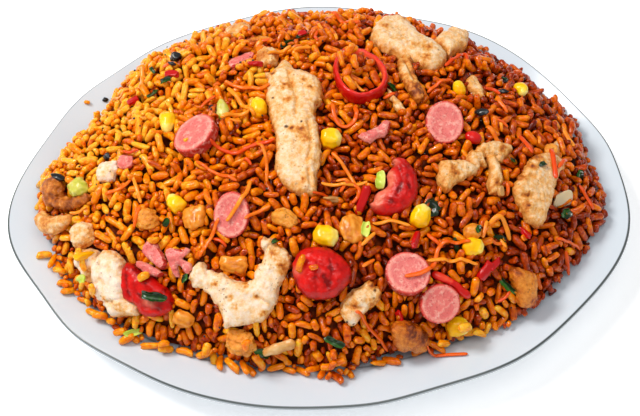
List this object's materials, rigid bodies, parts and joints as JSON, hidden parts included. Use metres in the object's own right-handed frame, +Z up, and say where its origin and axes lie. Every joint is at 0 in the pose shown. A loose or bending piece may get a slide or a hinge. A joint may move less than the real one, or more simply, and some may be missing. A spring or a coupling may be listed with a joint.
{
  "type": "plate of mixed meat rice",
  "caption": "Heap of fried rice with chicken pieces, sliced sausage, red pepper, sweetcorn and vegetable bits on an oval porcelain platter with a wavy edge.",
  "frame": {"origin": "on the table, under the middle of the platter's bounding box", "axes": "+X along the platter's length, towards the picture's right; +Y across it, away from the camera; +Z up from the table"},
  "size_m": [0.3, 0.238, 0.0811],
  "materials": {
    "porcelain": "gloss",
    "rice": "satin",
    "chicken": "satin",
    "browned_chicken": "satin",
    "sausage": "satin",
    "sausage_skin": "gloss",
    "pepper": "gloss",
    "corn": "gloss",
    "onion": "satin",
    "leek": "satin"
  },
  "bodies": {
    "root": {"platter": "porcelain", "rice_heap": "rice", "chicken_long_strip": "chicken", "chicken_twin_lobe": "chicken", "chicken_bent_strip": "chicken", "chicken_right_slab": "chicken", "chicken_forked_bite": "chicken", "chicken_left_lump": "chicken", "chicken_bean": "chicken", "chicken_back_chunk": "chicken", "chicken_sliver": "chicken", "chicken_back_cube": "chicken", "chicken_fibrous_bite": "chicken", "chicken_golden_wedge": "chicken", "chicken_pale_cube": "chicken", "chicken_front_cube": "browned_chicken", "chicken_right_block": "browned_chicken", "chicken_finger": "browned_chicken", "chicken_browned_scrap": "browned_chicken", "chicken_charred_curl": "browned_chicken", "chicken_golden_ball": "browned_chicken", "chicken_right_scrap": "browned_chicken", "chicken_middle_scrap": "browned_chicken", "chicken_left_scrap": "browned_chicken", "chicken_front_nugget": "browned_chicken", "sausage_slice_left": "sausage", "sausage_slice_right": "sausage", "sausage_slice_lower": "sausage", "sausage_slice_front": "sausage", "sausage_slice_middle": "sausage", "sausage_half_low": "sausage", "sausage_half_high": "sausage", "sausage_torn_bit": "sausage", "sausage_ragged_bit": "sausage", "sausage_back_strip": "sausage", "sausage_far_left_bit": "sausage", "sausage_end_front": "sausage_skin", "sausage_end_left": "sausage_skin", "sausage_end_curved": "sausage_skin", "pepper_ring": "pepper", "pepper_strip": "pepper", "pepper_bit": "pepper", "corn_kernel_1": "corn", "corn_kernel_2": "corn", "corn_kernel_3": "corn", "corn_kernel_4": "corn", "corn_kernel_5": "corn", "corn_kernel_6": "corn", "corn_kernel_7": "corn", "corn_kernel_8": "corn", "corn_kernel_9": "corn", "corn_kernel_10": "corn", "onion_piece_front": "onion", "onion_piece_left": "onion", "onion_piece_crook": "onion", "onion_piece_round": "onion", "onion_piece_middle": "onion", "onion_piece_right": "onion", "leek_cube": "leek", "leek_wedge": "leek"}
  },
  "joints": []
}
